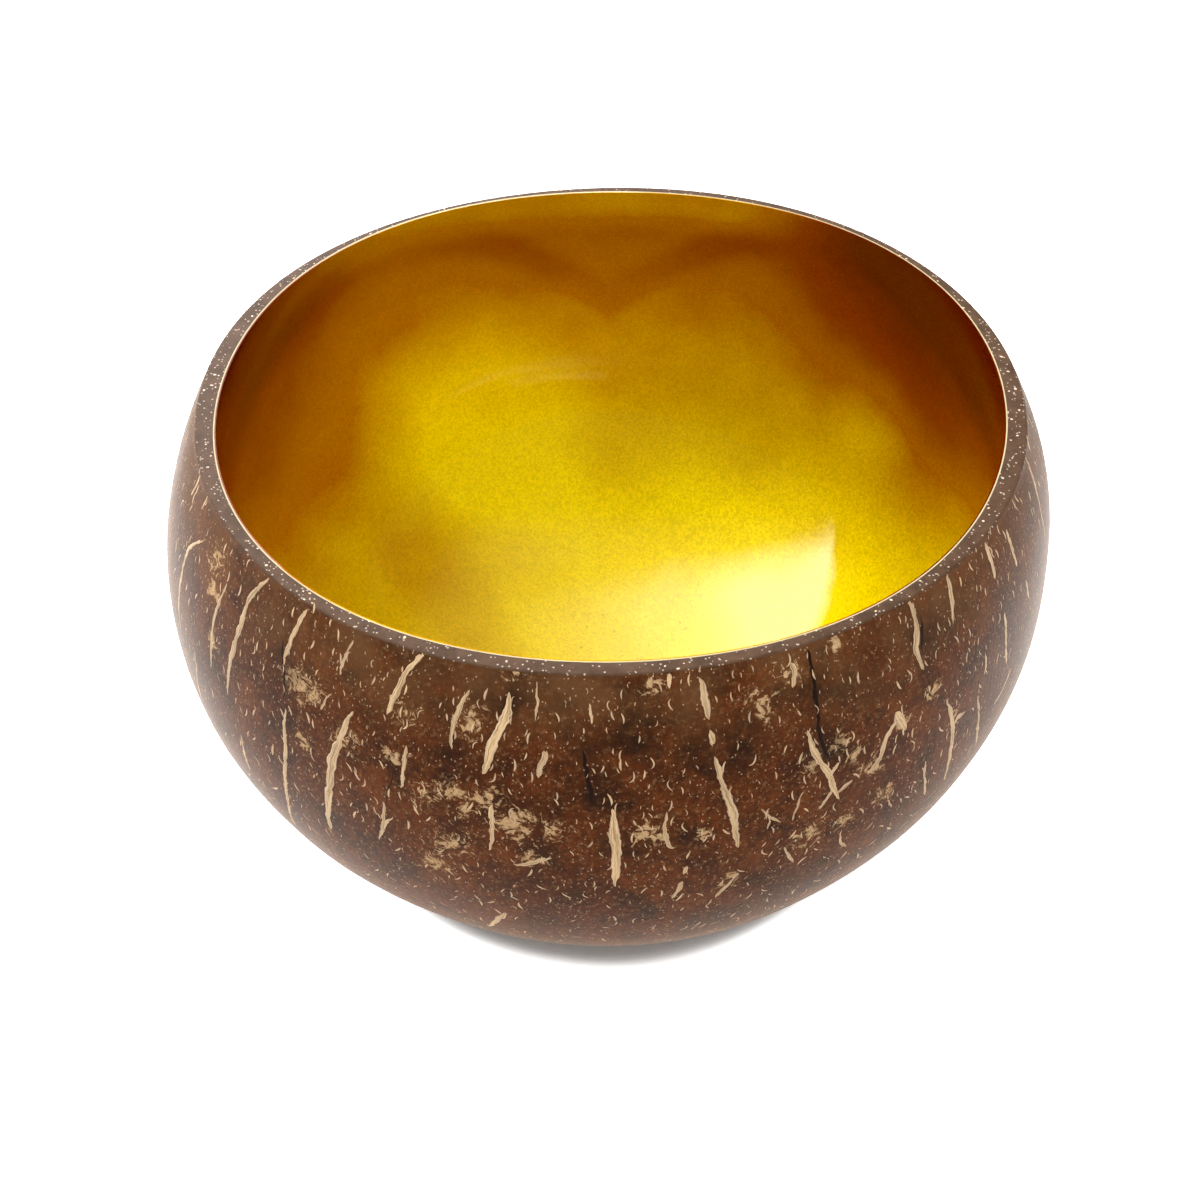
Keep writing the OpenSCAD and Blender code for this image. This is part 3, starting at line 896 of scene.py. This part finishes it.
def streak_tree():
    """Streaks along given lines. Each wanders on the shell, tapers to both ends and has a ragged edge."""
    tree, add, given = new_tree(
        "fibre_streaks", Shell="Object", Spacing="Float", Wander="Float", Rag="Float", Rise="Float",
        Seed="Float", Fibre="Material")
    shell = add("GeometryNodeObjectInfo", given["Shell"], out="Geometry")
    line = add("GeometryNodeMeshToCurve", given["Geometry"])
    line = add("GeometryNodeCurveSplineType", line, spline_type="CATMULL_ROM")
    line = add("GeometryNodeResampleCurve", line, {"Length": given["Spacing"]}, mode="LENGTH")
    line = add(STORE, line, True, "along", add("GeometryNodeSplineParameter", out="Length"))
    # It sways over some 4.5 mm. A noise is centred on a half and seldom leaves its middle half, hence the 4.
    place = add("GeometryNodeInputPosition")
    sway = add(NOISE, place, given["Seed"], 1 / (4.5 * MM), 2.0, out=1, noise_dimensions="4D")
    sway = add(V_SCALE, add(V_SUBTRACT, sway, HALVES), add(MULTIPLY, given["Wander"], 4.0))
    line = add(SET_POSITION, line, {"Offset": sway})
    seat = add("GeometryNodeProximity", shell, target_element="FACES")
    line = add(SET_POSITION, line, {"Position": seat})
    facing = add(NEAREST, shell, add("GeometryNodeInputNormal"))
    line = add(STORE, line, True, "up", facing, data_type="FLOAT_VECTOR")
    line = add("GeometryNodeSetCurveNormal", line, {"Normal": facing}, mode="FREE")
    share = add("GeometryNodeSplineParameter", out="Factor")
    taper = add(MULTIPLY, add(MULTIPLY, share, add(SUBTRACT, 1.0, share)), 4.0)
    swell = add(NOISE, place, given["Seed"], 1 / (2.6 * MM), 3.0, 0.6, noise_dimensions="4D")
    half = add(MULTIPLY, add(POWER, taper, 0.44), add(RANGE, swell, 0.3, 0.7, 0.42, 1.0))
    half = add(MAXIMUM, add(MULTIPLY, half, add(NAMED, "half_width")), THINNEST)
    # Across runs from -1 to 1 over the streak's width, and the section is flattened along the shell's normal
    ring = add("GeometryNodeCurvePrimitiveCircle", 8, 1.0)
    ring = add(STORE, ring, True, "across", add(SEPARATE, place, out=1))
    ring = add("GeometryNodeTransform", ring, {"Scale": add(COMBINE, given["Rise"], 1.0, 1.0)})
    body = add("GeometryNodeCurveToMesh", line, ring, half, True)
    # The edge is ragged every 0.7 mm, along the shell and never off it
    rag = add(V_SUBTRACT, add(NOISE, place, 1 / (0.7 * MM), 2.0, out=1), HALVES)
    rag = add(V_SCALE, rag, add(MULTIPLY, given["Rag"], 4.0))
    up = add(NAMED, "up", data_type="FLOAT_VECTOR")
    rag = add(V_SUBTRACT, rag, add(V_SCALE, up, add(V_DOT, rag, up)))
    body = add(SHADE_SMOOTH, add(SET_POSITION, body, {"Offset": rag}))
    return end_tree(tree, body, (True, given["Fibre"]))


def polylines(name, lines):
    """Lines as a mesh of edges: each line is its half width, its tone and its points."""
    points, edges, half_widths, tones = [], [], [], []
    for half_width, tone, path in lines:
        edges += [(len(points) + k, len(points) + k + 1) for k in range(len(path) - 1)]
        points += path
        half_widths += [half_width] * len(path)
        tones += [tone] * len(path)
    mesh = bpy.data.meshes.new(name)
    mesh.from_pydata(points, edges, [])
    write_layer(mesh, "half_width", half_widths)
    write_layer(mesh, "tone", tones)
    return mesh


def hidden_line(form, number, chance):
    """A line down the hidden side. Steps of the golden section keep such lines from crowding."""
    bearing = out_of_view((number * GOLDEN_SECTION + chance.uniform(-0.01, 0.01)) % 1)
    top = chance.uniform(*HIDDEN_TOPS)
    drop = min(top - LOWEST_END, chance.uniform(*HIDDEN_DROPS))
    lean = chance.uniform(-0.05, 0.05)
    return [bowl_point(form, bearing + lean * k / 3, (top - drop * k / 3) * MM) for k in range(4)]


class BOWL_OT_fibre_streaks(bpy.types.Operator):
    """Lays the long fibre streaks and the dark cracks on the shell"""
    bl_idname = "bowl.fibre_streaks"
    bl_label = "Fibre streaks and cracks"

    def execute(self, context):
        scene = context.scene
        form, fibre, look, studio = scene.bowl_form, scene.fibre_form, scene.shell_finish, scene.bowl_studio
        shell = bpy.data.objects["coconut_shell_skin"]
        faces = surface_tree(shell)
        chance = random.Random(fibre.seed + 1)
        tree = streak_tree()
        tan = husk_fibre("husk_fibre_streak", look.streak, look.streak_line, look.streak_edge, 0.3)
        dark = husk_fibre("shell_crack", look.crack, look.crack, look.dark, 0.05)
        for name, table, hidden, widest, material, rise in (
                ("fibre_streaks", FIBRE_STREAKS, fibre.hidden_streaks, 0.9, tan, fibre.rise_share),
                ("shell_cracks", DARK_CRACKS, HIDDEN_CRACKS, 0.4, dark, fibre.rise_share / 3)):
            lines = []
            for width, *pixels in table:
                path = [surface_under(studio, faces, x, y) for x, y in pixels]
                lines.append((width / 2 * MM, chance.random(), [p for p in path if p]))
            for number in range(hidden):
                path = hidden_line(form, number, chance)
                lines.append((chance.uniform(0.3, widest) * MM, chance.random(), path))
            piece = grow(name, polylines(name, [row for row in lines if len(row[2]) > 1]), tree, {
                "Shell": shell, "Spacing": fibre.spacing, "Wander": fibre.wander, "Rag": fibre.rag,
                "Rise": rise, "Seed": float(fibre.seed), "Fibre": material})
            keep(piece, "coconut_shell")
        return {"FINISHED"}


def fleck_tree():
    """Short fibres at random on the shell: along the meridians under the rim, every way towards the foot."""
    tree, add, given = new_tree("fibre_flecks", **{
        "Gap": "Float", "Density": "Float", "Half length": "Float", "Rise": "Float", "Seed": "Int",
        "Height": "Float", "Fibre": "Material"})
    outside = add(NAMED, "outside", data_type="BOOLEAN")
    surface = add("GeometryNodeSeparateGeometry", given["Geometry"], outside, domain="FACE")
    spread = add(SCATTER, surface, {
        "Distance Min": given["Gap"], "Density Max": given["Density"], "Seed": given["Seed"]},
        distribute_method="POISSON").node.outputs
    turned = add(ALIGN, {"Vector": spread["Normal"]}, axis="Z")
    turned = add(ALIGN, {"Rotation": turned, "Vector": (0.0, 0.0, 1.0)}, axis="Y", pivot_axis="Z")
    height = add(SEPARATE, add("GeometryNodeInputPosition"), out=2)
    # A fleck swings 0.2 radians at most at the rim and 1.9 at the foot, and half of them lie head down
    free = add(RANGE, height, given["Height"], 0.0, 0.2, 1.9)
    turn = add(MULTIPLY, add(RANDOM, 0.5, {"Seed": 6}, data_type="BOOLEAN"), math.pi)
    swing = add(MULTIPLY_ADD, add(RANDOM, -1.0, 1.0, {"Seed": 5}), free, turn)
    turned = add("FunctionNodeRotateRotation", turned, add(AXIS_ANGLE, {"Angle": swing}),
                 rotation_space="LOCAL")
    # Most are short: the power leaves few that come near the full length
    size = add(RANDOM, 0.0, 1.0, {"Seed": 9})
    half = add(RANGE, add(POWER, size, 2.4), 0.0, 1.0, 0.13, 1.0)
    half = add(MULTIPLY, half, given["Half length"])
    # The longer a fleck, the more likely it is thin and curled
    kind = add(FLOOR, add(MULTIPLY_ADD, size, 2.4, add(RANDOM, 0.0, 2.5, {"Seed": 3})))
    flecks = add("GeometryNodeJoinGeometry").node
    for number, (sections, middle, end, thick) in enumerate(FLECK_KINDS):
        start = (0.0, -1.0, 0.0)
        bow = add("GeometryNodeCurveQuadraticBezier", sections, start, (*middle, 0.0), (*end, 0.0))
        bow = add("GeometryNodeSetCurveNormal", bow, {"Normal": (0.0, 0.0, 1.0)}, mode="FREE")
        taper = add(SINE, add(MULTIPLY, add("GeometryNodeSplineParameter", out="Factor"), math.pi))
        taper = add(RANGE, taper, 0.0, 1.0, 0.15, 1.0)
        # A low ridge of three sides, its widest just under the shell's surface
        ridge = add("GeometryNodeTransform", add("GeometryNodeCurvePrimitiveCircle", 3, thick), {
            "Translation": (0.2 * thick, 0.0, 0.0), "Scale": (0.8, 1.15, 1.0)})
        bow = add("GeometryNodeCurveToMesh", bow, ridge, taper, True)
        chosen = add("FunctionNodeCompare", kind, float(number), 0.1, operation="EQUAL")
        placed = add(INSTANCE, {
            "Points": spread["Points"], "Selection": chosen, "Instance": bow, "Rotation": turned,
            "Scale": add(COMBINE, half, half, given["Rise"])})
        tree.links.new(placed, flecks.inputs[0])
    tone = add(RANDOM, 0.0, 1.0, {"Seed": 21})
    toned = add(STORE, flecks.outputs[0], True, "tone", tone, domain="INSTANCE")
    return end_tree(tree, toned, (True, given["Fibre"]))


def pale_fibre(name, first, second):
    """Short pale fibres, cut and varnished with the shell: dull straw, each a little lighter or darker."""
    material, add = new_material(name)
    tone_share = add(ATTRIBUTE, attribute_name="tone", out=2)
    mottle = add(NOISE, object_millimetres(add), 1 / 0.3, 2.0)
    shade = add(RANGE, add(ADD, tone_share, mottle), 0.3, 1.6, 0.65, 1.1)
    tone = add(V_SCALE, add(BLEND, tone_share, first, second), shade)
    shader = add(PRINCIPLED, {"Base Color": tone, "Roughness": 0.4, "IOR": 1.5, "Specular IOR Level": 0.35})
    add(SURFACE, shader)
    return material


def fibre_end_tree():
    """Fibre ends at random in the sawn rim, as low round lenses."""
    tree, add, given = new_tree(
        "fibre_ends", Density="Float", Width="Float", Rise="Float", Seed="Int", Fibre="Material")
    rim_cut = add(NAMED, "rim_cut", data_type="BOOLEAN")
    rim = add("GeometryNodeSeparateGeometry", given["Geometry"], rim_cut, domain="FACE")
    spread = add(SCATTER, rim, {"Density": given["Density"], "Seed": given["Seed"]},
                 distribute_method="RANDOM")
    lens = add("GeometryNodeMeshUVSphere", 8, 4, 0.5)
    # Few are wide, and each is drawn out one way by up to half
    size = add(POWER, add(RANDOM, 0.0, 1.0, {"Seed": 9}), 2.2)
    wide = add(MULTIPLY, add(RANGE, size, 0.0, 1.0, 0.4, 1.4), given["Width"])
    long = add(MULTIPLY, wide, add(RANDOM, 0.7, 1.5, {"Seed": 12}))
    turned = add(AXIS_ANGLE, {"Angle": add(RANDOM, 0.0, math.pi, {"Seed": 15})})
    placed = add(INSTANCE, {
        "Points": spread, "Instance": lens, "Rotation": turned,
        "Scale": add(COMBINE, wide, long, given["Rise"])})
    toned = add(STORE, placed, True, "tone", add(RANDOM, 0.0, 1.0, {"Seed": 21}), domain="INSTANCE")
    return end_tree(tree, toned, (True, given["Fibre"]))


def marked_copy(shell, form):
    """A copy of the shell's mesh on which the outside and the flat of the rim are marked for scattering."""
    mesh = shell.data.copy()
    outside, rim_cut = [], []
    for face in mesh.polygons:
        low = min(mesh.vertices[v].co.z for v in face.vertices)
        out = face.normal.dot(Vector((face.center.x, face.center.y, 0.0))) > 0
        outside.append(face.material_index == 0 and out and low > FLECK_FREE)
        rim_cut.append(face.normal.z > 0.9 and low > form.bowl_h - RIM_DEPTH)
    write_layer(mesh, "outside", outside, "BOOLEAN", "FACE")
    write_layer(mesh, "rim_cut", rim_cut, "BOOLEAN", "FACE")
    return mesh


class BOWL_OT_flecks(bpy.types.Operator):
    """Scatters the short fibres over the outside and the fibre ends over the sawn rim"""
    bl_idname = "bowl.flecks"
    bl_label = "Flecks and fibre ends"

    def execute(self, context):
        form, fibre, look = context.scene.bowl_form, context.scene.fibre_form, context.scene.shell_finish
        shell = bpy.data.objects["coconut_shell_skin"]
        lying = pale_fibre("pale_husk_fibre", look.fleck, look.streak)
        cut = pale_fibre("cut_husk_fibre", look.fibre_end, look.fleck)
        for name, tree, values in (
                ("fibre_flecks", fleck_tree(), {
                    "Gap": fibre.fleck_gap, "Density": fibre.fleck_density, "Half length": fibre.fleck_l / 2,
                    "Rise": fibre.fleck_rise, "Height": form.bowl_h, "Fibre": lying}),
                ("rim_fibre_ends", fibre_end_tree(), {
                    "Density": fibre.end_density, "Width": fibre.end_w, "Rise": fibre.end_rise,
                    "Fibre": cut})):
            piece = grow(name, marked_copy(shell, form), tree, {"Seed": fibre.seed, **values})
            keep(piece, "coconut_shell")
        return {"FINISHED"}


def floor_mesh():
    """A round floor whose edge turns up into a low wall."""
    middle_r, flat_r, cove_r, wall_top, around, steps = 0.4, 1.3, 0.4, 0.7, 64, 8
    profile = [(middle_r, 0.0), (flat_r, 0.0)]
    for k in range(1, steps + 1):
        turn = math.pi / 2 * k / steps
        profile.append((flat_r + cove_r * math.sin(turn), cove_r - cove_r * math.cos(turn)))
    profile.append((flat_r + cove_r, wall_top))
    compass = [2 * math.pi * i / around for i in range(around)]
    points = [(radius * math.cos(a), radius * math.sin(a), z) for radius, z in profile for a in compass]
    faces = [tuple(range(around))]
    for low in range(0, around * (len(profile) - 1), around):
        for i in range(around):
            j = (i + 1) % around
            faces.append((low + i, low + around + i, low + around + j, low + j))
    mesh = bpy.data.meshes.new("studio_floor")
    mesh.from_pydata(points, [], faces)
    mesh.shade_smooth()
    return mesh


def white_studio_paper(studio):
    """White paper. A glow of its own lifts it to white for the camera, save in the bowl's contact shadow,
    and the shell's gloss and the light thrown back at the bowl get the tints of the room."""
    material, add = new_material("white_studio_paper")
    ray = add("ShaderNodeLightPath").node.outputs
    mirrored = add(MAXIMUM, ray["Is Glossy Ray"], ray["Is Transmission Ray"])
    mirrored = add(MULTIPLY, mirrored, studio.floor_mirrored)
    lift = add(MULTIPLY_ADD, ray["Is Camera Ray"], studio.floor_lift, mirrored)
    # The contact shadow lies a little to the left, so the floor looks up leaning to the right
    openness = add("ShaderNodeAmbientOcclusion", {
        "Distance": studio.shadow_reach, "Normal": (0.35, 0.0, 0.94)}, out="AO", samples=8)
    lift = add(MULTIPLY, lift, add(RANGE, openness, 0.86, 0.97))
    # The room behind the camera takes much of the light that the floor would throw up at the bowl
    bounced = add(BLEND, ray["Is Diffuse Ray"], studio.floor, studio.floor_bounce)
    hue = add(BLEND, ray["Is Glossy Ray"], (1.0, 1.0, 1.0, 1.0), studio.floor_gloss)
    paper = add("ShaderNodeBsdfDiffuse", bounced)
    add(SURFACE, add("ShaderNodeAddShader", paper, add("ShaderNodeEmission", hue, lift)))
    return material


def shade_panel(lamp, height):
    """Gives the overhead panel its edges: sharp on the far left, soft in front, a long fade to the right."""
    lamp.use_nodes = True
    lamp.node_tree.nodes.clear()
    add = functools.partial(add_node, lamp.node_tree)
    # Where on the panel a point lies, in heights of the panel above the bowl
    spot = add(V_SCALE, add("ShaderNodeNewGeometry", out="Position"), 1 / height)
    east, north = add(SEPARATE, spot).node.outputs[:2]
    edge = add(RANGE, add(V_DOT, spot, (-0.548, 0.597, -0.67)), 0.04, -0.04)
    front = add(SMOOTH_RANGE, add(V_DOT, spot, (-0.17, 1.0, -0.085)), -0.15, 0.2)
    right = add(POWER, add(RANGE, east, 0.75, -0.45), 2.9)
    apron = add(RANGE, north, -0.35, -0.05, 0.0, 0.045)
    apron = add(MULTIPLY, apron, add(RANGE, east, 0.84, 0.35))
    glow = add(MULTIPLY, add(MAXIMUM, add(MULTIPLY, front, right), apron), edge)
    add("ShaderNodeOutputLight", add("ShaderNodeEmission", {"Strength": glow}))


class BOWL_OT_stage(bpy.types.Operator):
    """Sets the white floor, the lamps, the room's light and the camera"""
    bl_idname = "bowl.stage"
    bl_label = "Stage"

    def execute(self, context):
        scene, studio = context.scene, context.scene.bowl_studio
        scene.view_settings.view_transform = "Standard"
        floor = bpy.data.objects.new("studio_floor", floor_mesh())
        scene.collection.objects.link(floor)
        floor.data.materials.append(white_studio_paper(studio))
        middle = Vector((0.0, 0.0, scene.bowl_form.bowl_h / 2))
        for name, (place, size, watts, mirrored) in LAMPS.items():
            lamp = bpy.data.lights.new(name, "AREA")
            lamp.shape, lamp.size, lamp.size_y, lamp.energy = "RECTANGLE", *size, watts
            light = bpy.data.objects.new(name, lamp)
            light.location = Vector(place) + middle
            if name == "overhead_panel":
                shade_panel(lamp, place[2])
            else:
                light.rotation_euler = Vector(place).to_track_quat("Z", "Y").to_euler()
            light.visible_camera = False
            light.visible_glossy = mirrored
            scene.collection.objects.link(light)
        world = bpy.data.worlds.new("white_room")
        world.use_nodes = True
        world.node_tree.nodes.clear()
        sky = add_node(world.node_tree, "ShaderNodeBackground", studio.sky, studio.sky_strength)
        add_node(world.node_tree, "ShaderNodeOutputWorld", sky)
        scene.world = world
        lens = bpy.data.cameras.new("camera")
        lens.sensor_fit, lens.sensor_width, lens.lens = "HORIZONTAL", FILM_SIDE, studio.lens
        lens.clip_start, lens.clip_end = 0.01, 20.0
        camera = bpy.data.objects.new("camera", lens)
        turned = Matrix(camera_axes(studio)).transposed().to_4x4()
        camera.matrix_world = Matrix.Translation(studio.camera_place) @ turned
        scene.collection.objects.link(camera)
        scene.camera = camera
        return {"FINISHED"}


class BOWL_PT_sidebar(bpy.types.Panel):
    """Lists the bowl's pieces in the sidebar"""
    bl_idname = "BOWL_PT_sidebar"
    bl_label = "Coconut shell bowl"
    bl_space_type = "VIEW_3D"
    bl_region_type = "UI"
    bl_category = "Bowl"

    def draw(self, context):
        for operator in OPERATORS:
            self.layout.operator(operator.bl_idname)


SETTINGS = {"bowl_form": BowlForm, "fibre_form": FibreForm, "shell_finish": ShellFinish,
            "lining_finish": LiningFinish, "bowl_studio": StudioSetting}
OPERATORS = (BOWL_OT_shell, BOWL_OT_coats, BOWL_OT_fibre_streaks, BOWL_OT_flecks, BOWL_OT_stage)


def register():
    """Registers the settings, the operators and the panel."""
    for cls in (*SETTINGS.values(), *OPERATORS, BOWL_PT_sidebar):
        bpy.utils.register_class(cls)
    for name, group in SETTINGS.items():
        setattr(bpy.types.Scene, name, PointerProperty(type=group))


def unregister():
    """Takes them out again."""
    for name in SETTINGS:
        delattr(bpy.types.Scene, name)
    for cls in (BOWL_PT_sidebar, *OPERATORS[::-1], *SETTINGS.values()):
        bpy.utils.unregister_class(cls)


def main():
    """Builds the bowl and its stage."""
    register()
    for operator in OPERATORS:
        group, name = operator.bl_idname.split(".")
        getattr(getattr(bpy.ops, group), name)()


if __name__ == "__main__":
    main()
